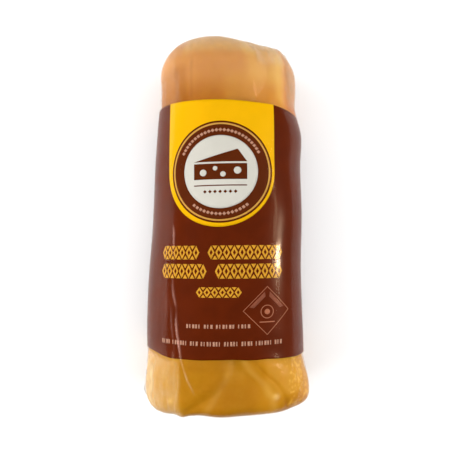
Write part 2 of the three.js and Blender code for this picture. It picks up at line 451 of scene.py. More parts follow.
def painted_glint_tone(y, angle):
    tone = 0
    place = skin_place(y, angle)
    for seed, (spans, edges, amount, size) in enumerate(PAINTED_GLINTS):
        noise = lattice_noise(place / GRAIN_SHAPE, size, 30 + seed)
        noise = noise + lattice_noise(place @ GRAIN_TURN, SECOND_GRAIN * size, 40 + seed)
        glint_grains = smooth_step(0.25, 0.9, noise)
        tone = tone + amount * glint_grains * patch_weight(y, angle, spans, edges)
    return tone


def rind_tone_and_painted_light(y, angle):
    """From -1, darkest, to 1, palest; painted light and shade are part of it."""
    radius = smooth_section(y, angle)[1]
    tone = patch_sum(PAINTED_LIGHT_AND_TONE_PATCHES, y, angle, seam_sum("tone", y, angle, radius))
    return tone + painted_glint_tone(y, angle) + BLISTER_PAINTED_GLINT * blisters(y, angle, radius)[1]


def cheese_depth(section, y, angle, radius):
    under = under_label(y, angle, CHEESE_FADE)
    depth = relief(section, y, angle, radius) + CHEESE_UNDER_LABEL * under
    depth = depth - seam_sum("height", y, angle, radius) * (1 - under)
    plain = section_point(section, y, angle, radius - depth, 0)
    lumps = 0.22 * lattice_noise(plain, 9, 1) + 0.1 * lattice_noise(plain, 3.5, 2)
    fine = 0.04 * lattice_noise(plain, 1.2, 3)
    return depth + (lumps + fine) * (1 - under) + 0.2


def cheese_point(y, angle):
    section, radius = smooth_section(y, angle)
    depth = cheese_depth(section, y, angle, radius)
    floor = 0.15 + 0.2 * under_label(y, angle, CHEESE_FADE)
    point = section_point(section, y, angle, radius - depth, floor)
    point[..., 1] -= np.sign(y) * TIP_GAP * (1 - off_face(y))
    return point


# How closely the label follows the strands: over most of it, and at its two edges.
FOLLOWING = 0.12
EDGE_FOLLOWING = 0.4
EDGE_BAND = 13


def eased(share):
    share = np.clip(share, 0, 1)
    return share * (2 - share)


def band_depth(section, y, angle, radius):
    """How far the label and the film over it follow the strands beneath."""
    soft = relief(section, y, angle, radius, blend=5, fill=0.6)
    close = relief(section, y, angle, radius, blend=3)
    near, far = label_edges(angle)
    inside = eased((y - near) / EDGE_BAND) * eased((far - y) / EDGE_BAND)
    return FOLLOWING * soft * inside + EDGE_FOLLOWING * close * (1 - inside)


def label_point(y, angle, inset):
    section, radius = smooth_section(y, angle)
    depth = band_depth(section, y, angle, radius) + inset
    return section_point(section, y, angle, radius - depth, LABEL_FACE + inset)


# Long folds in the film: where each runs and how strongly it stands there, as
# (y, degrees round the section, share), its full height, half width and milkiness; the
# milky white along a fold is partly a painted highlight.
Fold = namedtuple("Fold", "path height width milk")
SHOULDER_FOLD = (
    (-78, 121, 0), (-73.7, 124.5, 0.5), (-71.3, 126.6, 0.6), (-67.2, 129, 0.4),
    (-63.1, 131.2, 0.5), (-60.1, 132.2, 0.8), (-55.8, 133.4, 1.3), (-51.7, 134.7, 0.8),
    (-47.3, 135.6, 0.8), (-44.2, 135.8, 0.3), (-40.9, 136, 0.06), (-38.4, 137.1, 0.35),
    (-36.4, 138.1, 0.85), (-33.5, 139.3, 0.7), (-30.5, 140.1, 0.3), (-27.9, 140.5, 0.12),
    (-19.9, 140.2, 0.08), (-14, 141.5, 0.2), (-10.2, 142, 0.8), (-7.7, 142.2, 1.05),
    (-5.4, 142.9, 0.6), (-3.6, 143.4, 0.06), (1, 144.5, 0),
)
SIDE_FOLD = (
    (-62, 136.5, 0), (-56.1, 137.5, 0.4), (-47.6, 139.5, 1), (-43.1, 140.1, 0.6),
    (-37, 142, 0),
)
NEAR_FOLD = (
    (-89, 140, 0), (-84, 136.5, 1), (-74, 133.4, 1), (-65.5, 132.9, 0.7), (-60, 132.5, 0),
)
RIGHT_FOLD = ((-88, 41, 0), (-80, 37, 1), (-74, 33, 1), (-68, 33, 0.7), (-60, 36, 0))
FAR_FOLD = ((88, 30, 0), (80, 33, 1), (70, 34, 1), (58, 36, 0.8), (50, 38, 0))
FOLDS = (
    Fold(SHOULDER_FOLD, 0.42, 0.42, 0.46),
    Fold(SIDE_FOLD, 0.12, 0.42, 0.1),
    Fold(NEAR_FOLD, 0.3, 0.5, 0.1),
    Fold(RIGHT_FOLD, 0.15, 0.5, 0.06),
    Fold(FAR_FOLD, 0.22, 0.5, 0.08),
)


def fold_share(fold, y, angle, radius):
    """1 on the crest of a fold at full strength, 0 away from it."""
    at, _, shares = np.array(fold.path, float).T
    path = [place[:2] for place in fold.path]
    aside = beside(path, y, angle, radius)
    return np.exp(-((aside / fold.width) ** 2)) * np.interp(y, at, shares)


# Blisters where the film stands off: (y, degrees, radius, height, milkiness); the
# milkiness also paints the blister's glint.
BLISTERS = (
    (-78.9, 54.6, 1.3, 0.3, 0.22),
    (-80.4, 140.1, 1.2, 0.25, 0.14),
    (-71, 38, 0.8, 0.2, 0.15),
    (-12.3, 55, 4, 0.1, 0),
)


def blisters(y, angle, radius):
    """Height and milkiness of the blisters."""
    height = 0
    milk = 0
    for at, degrees, size, rise, milky in BLISTERS:
        square = ((angle - np.radians(degrees)) * radius) ** 2 + (y - at) ** 2
        weight = np.exp(-square / size**2)
        height = height + rise * weight
        milk = milk + milky * weight
    return height, milk


# Fine wrinkles of the film: spans of y and degrees, soft edges, height, how milky
# their crests are (partly painted glints and streaks of sheen), and the size of the
# wrinkles across and along.
WRINKLES = (
    (((-84, -65), (28, 44)), (4, 5), 0.2, 0.1, (1.5, 2.2)),
    (((-88, -62), (136, 175)), (4, 6), 0.2, 0.16, (2.2, 12)),
    (((54, 80), (120, 160)), (8, 8), 0.1, 0.06, (2, 14)),
    (((54, 86), (-5, 36)), (5, 6), 0.16, 0.3, (2, 4)),
    (((-95, -82), (0, 360)), (8, 1), 0.12, 0, (2.5, 4)),
    (((84, 95), (0, 360)), (8, 1), 0.1, 0, (2.5, 4)),
    (((-56, -30), (142, 160)), (5, 5), 0, 0.12, (1.6, 40)),
)


def wrinkles(y, angle):
    """Height and milkiness of the wrinkled film."""
    height = 0
    milk = 0
    place = skin_place(y, angle)
    for seed, (spans, edges, rise, milky, (across, along)) in enumerate(WRINKLES):
        noise = lattice_noise(place / (across, along, across), 1, 10 + seed)
        weight = patch_weight(y, angle, spans, edges)
        height = height + rise * noise * weight
        milk = milk + milky * np.maximum(noise, 0) ** 2 * weight
    return height, milk


# Where the film is painted hazy: painted sheen of its reflections, and milky film:
# spans of y and degrees, soft edges, milkiness.
HAZES_AND_PAINTED_SHEEN = (
    (((-95, -60), (137, 200)), (4, 5), 0.22),
    (((-95, -60), (160, 200)), (4, 10), 0.3),
    (((-88, -62), (0, 20)), (4, 7), 0.12),
    (((54, 90), (-10, 30)), (6, 8), 0.22),
    (((72, 84), (40, 58)), (4, 5), 0.28),
    (((77, 95), (66, 126)), (5, 9), 0.12),
)


def film_milk_and_painted_sheen(y, angle):
    """How milky the film is: where it is folded double or lifts off the cheese, and
    where its milky white paints sheen, glints and highlights.
    """
    radius = smooth_section(y, angle)[1]
    bare = 1 - under_label(y, angle, CHEESE_FADE)
    milk = patch_sum(HAZES_AND_PAINTED_SHEEN, y, angle) + seam_sum("milk", y, angle, radius)
    milk = milk * bare + wrinkles(y, angle)[1] + blisters(y, angle, radius)[1]
    for fold in FOLDS:
        milk = milk + fold.milk * fold_share(fold, y, angle, radius)
    uneven = lattice_noise(skin_place(y, angle) / (1.3, 3, 1.3), 1, 7)
    return np.clip(milk * (0.8 + 0.4 * uneven), 0, 0.75)


def film_point(y, angle):
    section, radius = smooth_section(y, angle)
    covered = under_label(y, angle, CHEESE_FADE)
    on_cheese = 0.8 * relief(section, y, angle, radius, blend=3) - 0.05
    on_label = band_depth(section, y, angle, radius) + FILM_OVER_LABEL
    on_cheese = on_cheese - 0.9 * seam_sum("height", y, angle, radius) - wrinkles(y, angle)[0]
    on_cheese = np.minimum(on_cheese, cheese_depth(section, y, angle, radius) - 0.1)
    depth = on_cheese + (on_label - on_cheese) * covered
    depth = depth - blisters(y, angle, radius)[0]
    for fold in FOLDS:
        depth = depth - fold.height * fold_share(fold, y, angle, radius)
    return section_point(section, y, angle, radius - depth, 0)


# ---- Meshes ----


def add_object(name, data):
    thing = bpy.data.objects.new(name, data)
    bpy.context.scene.collection.objects.link(thing)
    return thing


def make_piece(name, points, faces, material, slot, node=None):
    """A mesh object from points in millimetres, riding on the part's body."""
    mesh = bpy.data.meshes.new(name)
    mesh.from_pydata((np.asarray(points) * MM).tolist(), [], faces)
    mesh.polygons.foreach_set("use_smooth", [True] * len(mesh.polygons))
    mesh.materials.append(material)
    mesh.validate()
    piece = add_object(name, mesh)
    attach(piece, BODY)
    if node:
        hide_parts(node)
    return piece


def ring_faces(first, second, count):
    """Quads between two closed rings of points."""
    return [
        (first + i, first + (i + 1) % count, second + (i + 1) % count, second + i)
        for i in range(count)
    ]


def spaced(stops):
    """Values from (value, spacing up to the next stop) pairs."""
    values = [stops[0][0]]
    for (start, gap), (end, _) in zip(stops, stops[1:]):
        count = max(round((end - start) / gap), 1)
        values.extend(np.linspace(start, end, count + 1)[1:])
    return np.array(values)


def closed_block(point_at, stations, angles):
    """Points and faces of a body from rings along Y, closed by a point at each end."""
    y, angle = np.meshgrid(stations, angles, indexing="ij")
    rings = point_at(y, angle)
    tips = point_at(np.array([-HALF_LENGTH, HALF_LENGTH]), np.zeros(2))
    count = len(angles)
    points = np.concatenate([rings.reshape(-1, 3), tips])
    near_tip = len(points) - 2
    faces = []
    for ring in range(len(stations) - 1):
        faces += ring_faces((ring + 1) * count, ring * count, count)
    last = (len(stations) - 1) * count
    for i in range(count):
        after = (i + 1) % count
        faces.append((near_tip, i, after))
        faces.append((near_tip + 1, last + after, last + i))
    return points, faces


def end_crowded(stops, tip_rings, cap_length):
    """Stations along Y, with rings crowded into the last stretch at each tip."""
    share = np.linspace(0, 1, tip_rings + 1)[1:]
    crowded = cap_length * (1 - np.cos(share * math.pi / 2))
    near = -HALF_LENGTH + crowded
    far = (HALF_LENGTH - crowded)[::-1]
    inner = spaced([(near[-1], stops[0][1]), *stops[1:-1], (far[0], 1)])
    return np.concatenate([near, inner[1:-1], far])


def around(stops):
    """Angles round the section, from (degrees, spacing in degrees) pairs."""
    return np.radians(spaced(stops)[:-1])


# ---- Materials ----


def new_material(name):
    material = bpy.data.materials.new(name)
    material.use_nodes = True
    tree = material.node_tree
    return material, tree, tree.nodes["Principled BSDF"]


def put(socket, value):
    """Sets a socket to a value, or links it to the socket that is given."""
    if isinstance(value, bpy.types.NodeSocket):
        socket.id_data.links.new(value, socket)
    else:
        socket.default_value = value


def set_inputs(node, **values):
    """Sets or links inputs by name, with _ for each blank in a name."""
    for name, value in values.items():
        put(node.inputs[name.replace("_", " ")], value)


def add_node(tree, kind, **values):
    node = tree.nodes.new("ShaderNode" + kind)
    set_inputs(node, **values)
    return node


def coordinates(tree, space="Object"):
    """The X, Y and Z of a point in the given space."""
    place = add_node(tree, "TexCoord").outputs[space]
    return add_node(tree, "SeparateXYZ", Vector=place).outputs


def stored(tree, name):
    """The value that a mesh keeps at each point under this name."""
    node = add_node(tree, "Attribute")
    node.attribute_name = name
    return node.outputs["Fac"]


def add_noise(tree, scale, detail=3, stretch=(1, 1, 1)):
    """Noise in object space; scale is in cells per metre."""
    place = add_node(tree, "TexCoord").outputs["Object"]
    turned = add_node(tree, "Mapping", Vector=place, Scale=stretch).outputs["Vector"]
    noise = add_node(tree, "TexNoise", Vector=turned, Scale=scale, Detail=detail, Roughness=0.5)
    return noise.outputs["Fac"]


def mapped(tree, value, from_low, from_high, to_low, to_high, shape="SMOOTHSTEP"):
    node = add_node(tree, "MapRange", Value=value, From_Min=from_low, From_Max=from_high)
    set_inputs(node, To_Min=to_low, To_Max=to_high)
    node.interpolation_type = shape
    return node.outputs["Result"]


def mottle(tree, scale, detail, low=0, high=1):
    """Noise spread over low to high."""
    return mapped(tree, add_noise(tree, scale, detail), 0.3, 0.7, low, high)


def mixed(tree, share, first, second, mode="MIX"):
    """Colour mix; each of first and second is a socket or an (r, g, b)."""
    node = add_node(tree, "Mix")
    node.data_type = "RGBA"
    node.blend_type = mode
    put(node.inputs[0], share)
    for index, colour in ((6, first), (7, second)):
        put(node.inputs[index], (*colour, 1) if isinstance(colour, tuple) else colour)
    return node.outputs[2]


def add_bump(tree, shader, height, depth_mm):
    bump = add_node(tree, "Bump", Strength=1, Distance=depth_mm * MM, Height=height)
    set_inputs(shader, Normal=bump.outputs["Normal"])


def srgb(red, green, blue):
    """Linear colour from 8-bit sRGB."""
    values = (channel / 255 for channel in (red, green, blue))
    return tuple(v / 12.92 if v <= 0.04045 else ((v + 0.055) / 1.055) ** 2.4 for v in values)


def cheese_material():
    material, tree, shader = new_material("smoked_cheese")
    place = coordinates(tree)
    along = mapped(tree, place["Y"], -0.03, 0.03, 0, 1)
    base = mixed(tree, along, srgb(179, 122, 13), srgb(183, 114, 36))
    # Painted light: the rind is painted paler towards +X, where the right side is lit more.
    painted_right_side_light = mapped(tree, place["X"], 0.004, 0.02, 0, 1)
    base = mixed(tree, painted_right_side_light, base, mixed(tree, 1.0, base, (1.2, 1.2, 1.5), "MULTIPLY"))
    farther = mapped(tree, place["Y"], 0.05, 0.072, 0, 1)
    base = mixed(tree, farther, base, srgb(206, 149, 91))
    broad = mapped(tree, add_noise(tree, 45, 2), 0.35, 0.65, 0, 1)
    base = mixed(tree, broad, base, mixed(tree, 0.2, base, srgb(170, 96, 20)))
    base = mixed(tree, mottle(tree, 260, 4), base, mixed(tree, 0.1, base, srgb(215, 160, 50)))
    # The stored tone paints light and shade as well as the rind's own tone: its paler end mixes
    # towards painted light, its darker end towards painted shade.
    tone = stored(tree, "tone")
    paler_and_painted_light = mapped(tree, tone, 0, 1, 0, 1, "LINEAR")
    pale_and_painted_light_colour = mixed(tree, farther, srgb(228, 180, 76), srgb(226, 186, 108))
    base = mixed(tree, paler_and_painted_light, base, pale_and_painted_light_colour)
    darker = mapped(tree, tone, -1, 0, 1, 0, "LINEAR")
    base = mixed(tree, darker, base, srgb(128, 62, 8))
    set_inputs(shader, Base_Color=base, Roughness=mottle(tree, 500, 3, 0.36, 0.55))
    set_inputs(shader, Subsurface_Weight=0.15, Subsurface_Radius=(1.0, 0.45, 0.2))
    set_inputs(shader, Subsurface_Scale=2.5 * MM, Specular_IOR_Level=0.12)
    add_bump(tree, shader, add_noise(tree, 900, 4), 0.05)
    return material


INK_ROUGHNESS = 0.38
INK_ROUGHNESS_SPREAD = 0.06


def ink(name, colour, uneven=0.1):
    """Printing ink of an 8-bit colour, uneven by a share of its brightness."""
    material, tree, shader = new_material(name)
    colour = srgb(*colour)
    darker = tuple(channel * (1 - uneven) for channel in colour)
    base = mixed(tree, mottle(tree, 120, 3), colour, darker)
    low = INK_ROUGHNESS - INK_ROUGHNESS_SPREAD
    high = INK_ROUGHNESS + INK_ROUGHNESS_SPREAD
    rough = mottle(tree, 700, 2, low, high)
    set_inputs(shader, Base_Color=base, Roughness=rough, Specular_IOR_Level=0.04)
    add_bump(tree, shader, add_noise(tree, 350, 3), 0.02)
    return material


FILM_REFLECTION = 0.42


def blended(tree, share, first, second):
    mix = add_node(tree, "MixShader", Fac=share)
    put(mix.inputs[1], first.outputs[0])
    put(mix.inputs[2], second.outputs[0])
    return mix


def film_material():
    """Clear film that shines, and is milky where its mesh says so; the milky white also
    paints sheen, glints and highlights.
    """
    material, tree, gloss = new_material("clear_film")
    set_inputs(gloss, Base_Color=(1, 0.96, 0.9, 1), Metallic=1, Roughness=0.16)
    reflected = add_node(tree, "Math")
    reflected.operation = "MULTIPLY"
    put(reflected.inputs[0], add_node(tree, "Fresnel", IOR=1.5).outputs["Fac"])
    put(reflected.inputs[1], FILM_REFLECTION)
    place = coordinates(tree)
    on_label = mapped(tree, place["Y"], -0.066, -0.058, 0, 1)
    tint = mixed(tree, on_label, srgb(240, 210, 158), srgb(246, 183, 164))
    at_far_end = mapped(tree, place["Y"], 0.05, 0.056, 0, 1)
    tint = mixed(tree, at_far_end, tint, srgb(232, 208, 172))
    clear = add_node(tree, "BsdfTransparent")
    milky_and_painted_sheen = add_node(tree, "BsdfDiffuse", Color=tint)
    surface = blended(tree, reflected.outputs["Value"], clear, gloss)
    surface = blended(tree, stored(tree, "milk"), surface, milky_and_painted_sheen)
    set_inputs(tree.nodes["Material Output"], Surface=surface.outputs[0])
    add_bump(tree, gloss, add_noise(tree, 160, 1, (1, 0.3, 1)), 0.05)
    return material


def seal_material():
    """Doubled, welded film: milky, and only partly clear."""
    material, tree, milky = new_material("welded_film")
    tint = mixed(tree, mottle(tree, 400, 2), srgb(244, 236, 222), srgb(222, 212, 196))
    set_inputs(milky, Base_Color=tint, Roughness=0.3, Alpha=0.26)
    add_bump(tree, milky, add_noise(tree, 900, 2), 0.05)
    return material


CHEESE = cheese_material()
FILM = film_material()
BROWN = ink("print_brown", (97, 32, 3), 0.14)
YELLOW = ink("print_yellow", (232, 178, 4), 0.04)
CREAM = ink("print_cream", (207, 204, 194), 0.04)
GOLD = ink("print_gold", (218, 160, 48))
DARK = ink("print_dark", (94, 38, 8))
PALE_GOLD = ink("print_pale_gold", (212, 160, 76))
ROSE = ink("print_rose", (196, 148, 122))
SEAL_LINE = ink("print_seal_line", (178, 112, 82))
SEAL_BAND = ink("print_seal_band", (146, 84, 62))
FILM_SEAL = seal_material()

# ---- Cheese, label and film ----

# How many rings are crowded into the last stretch at each tip, and how long that is.
TIP_RINGS = 26
TIP_STRETCH = 12


def add_block(name, point_at, value_name, value_at, material, stops, angles):
    """A closed body round the block, with a value kept at each of its points."""
    stations = end_crowded(stops, TIP_RINGS, TIP_STRETCH)
    points, faces = closed_block(point_at, stations, angles)
    piece = make_piece(name, points, faces, material, name, BLOCK_NODE)
    values = value_at(*np.meshgrid(stations, angles, indexing="ij"))
    attribute = piece.data.attributes.new(value_name, "FLOAT", "POINT")
    tips = [0, 0]
    attribute.data.foreach_set("value", np.append(values.ravel(), tips).astype(np.float32))


CHEESE_STOPS = ((0, 0.55), (-58, 3), (48, 0.55), (0, 0))
CHEESE_ANGLES = around([(-30, 0.9), (210, 2.4), (330, 1)])
FILM_STOPS = ((0, 0.6), (-58, 0.9), (48, 0.6), (0, 0))
FILM_ANGLES = around([(-30, 0.9), (118, 0.42), (150, 0.9), (210, 3), (330, 1)])
add_block("cheese", cheese_point, "tone", rind_tone_and_painted_light, CHEESE, CHEESE_STOPS, CHEESE_ANGLES)
add_block("film", film_point, "milk", film_milk_and_painted_sheen, FILM, FILM_STOPS, FILM_ANGLES)


LABEL_RINGS = 160


def label_sheet():
    """The label's thin band: an outer and an inner face, joined at both edges."""
    angles = around([(0, 1), (360, 1)])
    rings = LABEL_RINGS
    near, far = label_edges(angles)
    walls = []
    for inset in (LABEL_FACE, LABEL_FACE + LABEL_SHEET):
        share = np.linspace(0, 1, rings)[:, None]
        y = near + (far - near) * share
        angle = np.broadcast_to(angles, y.shape)
        walls.append(label_point(y, angle, inset).reshape(-1, 3))
    count = len(angles)
    wall = rings * count
    faces = []
    for ring in range(rings - 1):
        faces += ring_faces((ring + 1) * count, ring * count, count)
        faces += ring_faces(wall + ring * count, wall + (ring + 1) * count, count)
    faces += ring_faces(0, wall, count)
    faces += ring_faces(wall + wall - count, wall - count, count)
    return np.concatenate(walls), faces


make_piece("label", *label_sheet(), BROWN, "label", LABEL_NODE)

# ---- Print: laid out flat, then wrapped round the label ----

# The layout's centre line on the label: x = middle + slant * y.
CENTRE_LINE_MIDDLE = -3.2
CENTRE_LINE_SLANT = 0.013
ACROSS_STRETCH = 1.03
ROUNDEL_X = 0.5
ROUNDEL_Y = 19.5
DISC_RADIUS = 16.2
RING_RADIUS = 21
PALE_LINE_RADIUS = 21.8
DARK_LINE_RADIUS = 22.6
PANEL_RADIUS = 24.3


class Wrap:
    """Places flat print on the label: across is measured round the surface."""

    def __init__(self):
        self.rows = np.linspace(LABEL_NEAR_EDGE - 3, LABEL_FAR_EDGE + 3, 117)
        self.angles = np.radians(np.linspace(-20, 200, 441))
        y, angle = np.meshgrid(self.rows, self.angles, indexing="ij")
        points = label_point(y, angle, LABEL_FACE)
        steps = np.linalg.norm(np.diff(points, axis=1), axis=-1)
        self.run = np.pad(np.cumsum(steps, axis=1), ((0, 0), (1, 0)))
        centre = CENTRE_LINE_MIDDLE + CENTRE_LINE_SLANT * self.rows
        for row, at in enumerate(centre):
            upper = np.sin(self.angles) > 0.5
            x = points[row, upper, 0]
            self.run[row] -= np.interp(-at, -x, self.run[row, upper])

    def angle_of(self, across, y):
        place = (y - self.rows[0]) / (self.rows[1] - self.rows[0])
        low = np.clip(np.floor(place).astype(int), 0, len(self.rows) - 2)
        share = place - low
        angle = np.empty_like(y)
        for row in np.unique(low):
            here = low == row
            first = np.interp(-across[here], self.run[row], self.angles)
            second = np.interp(-across[here], self.run[row + 1], self.angles)
            angle[here] = first + (second - first) * share[here]
        return angle

    def points(self, flat, lift):
        across, y = np.array(flat, float).T
        angle = self.angle_of(across * ACROSS_STRETCH, y)
        return label_point(y, angle, LABEL_FACE - lift)


wrap = Wrap()
INK_DEPTH = 0.02


def closed_sheet(top, bottom, faces):
    """Points and faces of a thin body between two copies of a sheet."""
    count = len(top)
    edges = {(a, b) for face in faces for a, b in zip(face, face[1:] + face[:1])}
    border = sorted((a, b) for a, b in edges if (b, a) not in edges)
    under = [tuple(count + i for i in reversed(face)) for face in faces]
    rim = [(b, a, count + a, count + b) for a, b in border]
    return np.concatenate([top, bottom]), faces + under + rim


def make_print(name, shape, material, lift):
    """A thin closed layer of ink from a flat mesh of (across, y) points."""
    flat, faces = shape
    top = wrap.points(flat, lift)
    bottom = wrap.points(flat, -INK_DEPTH)
    make_piece(name, *closed_sheet(top, bottom, faces), material, "label")


def join_flat(shapes):
    """One flat mesh from several."""
    flat, faces = [], []
    for more_flat, more_faces in shapes:
        start = len(flat)
        flat += [tuple(p) for p in more_flat]
        faces += [tuple(start + i for i in face) for face in more_faces]
    return flat, faces


def grid_faces(rows, columns):
    first = [r * columns + c for r in range(rows - 1) for c in range(columns - 1)]
    return [(i, i + 1, i + columns + 1, i + columns) for i in first]


def ring_shape(centre, inner, outer, segments=120, rows=6):
    """A flat ring, or a disc where inner is 0."""
    x0, y0 = centre
    turns = 2 * np.pi * np.arange(segments) / segments
    radii = np.linspace(inner, outer, rows)
    if inner == 0:
        radii = radii[1:]
    flat = [(x0 + r * math.cos(t), y0 + r * math.sin(t)) for r in radii for t in turns]
    faces = []
    for row in range(len(radii) - 1):
        faces += ring_faces(row * segments, (row + 1) * segments, segments)
    faces = [tuple(reversed(face)) for face in faces]
    if inner == 0:
        middle = len(flat)
        flat.append((x0, y0))
        faces += [(middle, i, (i + 1) % segments) for i in range(segments)]
    return flat, faces


def panel_shape(columns=81, rows=60):
    """A panel from the label's far edge down to a round lower end."""
    flat = []
    for row in np.linspace(0, 1, rows):
        for s in np.sin(np.linspace(-math.pi / 2, math.pi / 2, columns)):
            across = s * PANEL_RADIUS
            low = ROUNDEL_Y - PANEL_RADIUS * math.sqrt(max(1 - s * s, 0))
            angle = wrap.angle_of(np.array([across]), np.array([LABEL_FAR_EDGE]))[0]
            high = label_edges(angle)[1]
            flat.append((across, low + (high - low) * row))
    return flat, grid_faces(rows, columns)


def patch_shape(corners, step=0.8):
    """A four-sided field, cut up finely so that it bends round the label. Its
    corners run anticlockwise."""
    a, b, c, d = np.array(corners, float)
    across = max(np.linalg.norm(b - a), np.linalg.norm(c - d))
    along = max(np.linalg.norm(d - a), np.linalg.norm(c - b))
    columns = max(math.ceil(across / step), 1) + 1
    rows = max(math.ceil(along / step), 1) + 1
    flat = []
    for v in np.linspace(0, 1, rows):
        for u in np.linspace(0, 1, columns):
            flat.append(tuple((1 - v) * ((1 - u) * a + u * b) + v * ((1 - u) * d + u * c)))
    return flat, grid_faces(rows, columns)


def lozenge(x, y, half_width, half_height):
    return patch_shape(
        [(x - half_width, y), (x, y - half_height), (x + half_width, y), (x, y + half_height)]
    )


def open_lozenge(x, y, half_width, half_height, hole=0.42, cuts=4):
    corners = ((half_width, 0), (0, half_height), (-half_width, 0), (0, -half_height))
    flat = []
    for scale in (1, hole):
        for (x0, y0), (x1, y1) in zip(corners, corners[1:] + corners[:1]):
            for share in np.arange(cuts) / cuts:
                along_x = x0 + (x1 - x0) * share
                along_y = y0 + (y1 - y0) * share
                flat.append((x + scale * along_x, y + scale * along_y))
    return flat, ring_faces(4 * cuts, 0, 4 * cuts)


def bar_shape(left, right, low, high):
    return patch_shape([(left, low), (right, low), (right, high), (left, high)])


# Two broad rows and a short one stand for the headings: harlequin chains.
HEADING_PITCH = 3.3
CHAINS = (
    # middle y, half height, spans across
    (-16, 3.05, ((-28, -8.2), (-4.9, 28.1))),
    (-24.2, 3.2, ((-28, -5), (-1.7, 28))),
    (-33.3, 2.25, ((-9.9, 9.9),)),
)


def chain_gap(x, y, side, pitch, half_height):
    """The small triangle between two lozenges, at their upper or lower side."""
    edge = y + side * half_height
    tip = y + side * 0.42 * half_height
    reach = 0.34 * side * pitch
    point = 0.02 * side
    return patch_shape([(x + reach, edge), (x - reach, edge), (x - point, tip), (x + point, tip)])


def chain_shapes(y, half_height, left, right):
    """Lozenges in a row, with small triangles between them above and below."""
    count = round((right - left) / HEADING_PITCH)
    pitch = (right - left) / count
    shapes = []
    for i in range(count):
        x = left + (i + 0.5) * pitch
        shapes.append(open_lozenge(x, y, 0.46 * pitch, half_height))
        if i:
            gaps = (chain_gap(x - 0.5 * pitch, y, side, pitch, half_height) for side in (-1, 1))
            shapes.extend(gaps)
    return shapes


# Arcs of beads round the roundel: middle and half span in degrees, and how many.
BEAD_ARCS = ((90, 62, 25), (270, 38, 15))
BEAD_SIZE = 0.85


def bead_shapes(middle_angle, half_span, count):
    """Small lozenges along an arc of the roundel."""
    radius = (DISC_RADIUS + RING_RADIUS) / 2
    shapes = []
    for turn in np.linspace(-half_span, half_span, count):
        angle = math.radians(middle_angle + turn)
        x = ROUNDEL_X + radius * math.cos(angle)
        y = ROUNDEL_Y + radius * math.sin(angle)
        shapes.append(lozenge(x, y, BEAD_SIZE, BEAD_SIZE))
    return shapes


# Small rows of ticks: y, half height, pitch, left end, and how many stand together.
TICK_SHARES = (0.62, 0.4, 0.7, 0.55, 0.34)
TICK_ROWS = (
    (-47.9, 0.85, 1.38, -14, (5, 3, 6, 4)),
    (-55.3, 0.95, 1.28, -26.8, (4, 6, 3, 7, 5, 4, 6, 3)),
)


def tick_shapes(y, half_height, pitch, left, groups):
    shapes = []
    step = 0
    for group in groups:
        for _ in range(group):
            width = pitch * TICK_SHARES[step % len(TICK_SHARES)]
            shapes.append(bar_shape(left, left + width, y - half_height, y + half_height))
            left += pitch
            step += 1
        left += 0.7 * pitch
    return shapes


WEDGE_HALF = 11.5


def wedge_shapes(x, y):
    """A drawn wedge of cheese: its cut face and its slanted top, over a line of
    lozenges."""
    left, right = x - WEDGE_HALF, x + WEDGE_HALF
    face = bar_shape(left, right, y - 4.6, y + 2.4)
    peak = y + 8.8
    top = patch_shape([(left, y + 3.2), (right, y + 3.2), (x + 7.5, peak), (x + 7.3, peak)])
    line = bar_shape(left, right, y - 7.5, y - 7)
    row = [lozenge(x + across, y - 10, 0.8, 0.8) for across in np.arange(-3, 4) * 2.2]
    return [face, top, line, *row]


def wedge_holes(x, y):
    places = ((-7.4, -1.6, 1.5), (-2.2, 0.3, 1), (1.2, -2.3, 1.2), (7.4, -0.7, 1.6))
    return [
        ring_shape((x + across, y + up), 0, radius, segments=24, rows=4)
        for across, up, radius in places
    ]


SEAL_X = 20.8
SEAL_Y = -41.4
SEAL_HALF = 10.6


def seal_shapes():
    """A plain diamond outline round a small round motif and two bands."""
    line = 0.28
    hole = 1 - line * math.sqrt(2) / SEAL_HALF
    shapes = [open_lozenge(SEAL_X, SEAL_Y, SEAL_HALF, SEAL_HALF, hole, cuts=12)]
    shapes.append(ring_shape((SEAL_X, SEAL_Y - 0.5), 2.6, 2.95, segments=40, rows=2))
    shapes.append(ring_shape((SEAL_X, SEAL_Y - 0.5), 0, 1.2, segments=24, rows=3))
    shapes.append(bar_shape(SEAL_X - 3.4, SEAL_X + 3.4, SEAL_Y - 5.2, SEAL_Y - 4.7))
    return shapes


def seal_bands():
    """Bands just inside the two upper sides of the diamond."""
    shapes = []
    for side in (-1, 1):
        flat = []
        for inset in (0.9, 2.6):
            half = SEAL_HALF - inset * math.sqrt(2)
            for share in (0.12, 0.3, 0.48, 0.66, 0.84):
                flat.append((SEAL_X + side * half * share, SEAL_Y + half * (1 - share)))
        faces = grid_faces(2, 5)
        shapes.append((flat, [face[::side] for face in faces]))
    return shapes


# How far each layer of print lies above the label.
PANEL_LIFT = 0.04
PLAIN_LIFT = 0.05
RING_LIFT = 0.07
ART_LIFT = 0.1
HOLE_LIFT = 0.13


def joined(make_shapes, rows):
    """One flat mesh from the shapes of every row."""
    return join_flat([shape for row in rows for shape in make_shapes(*row)])


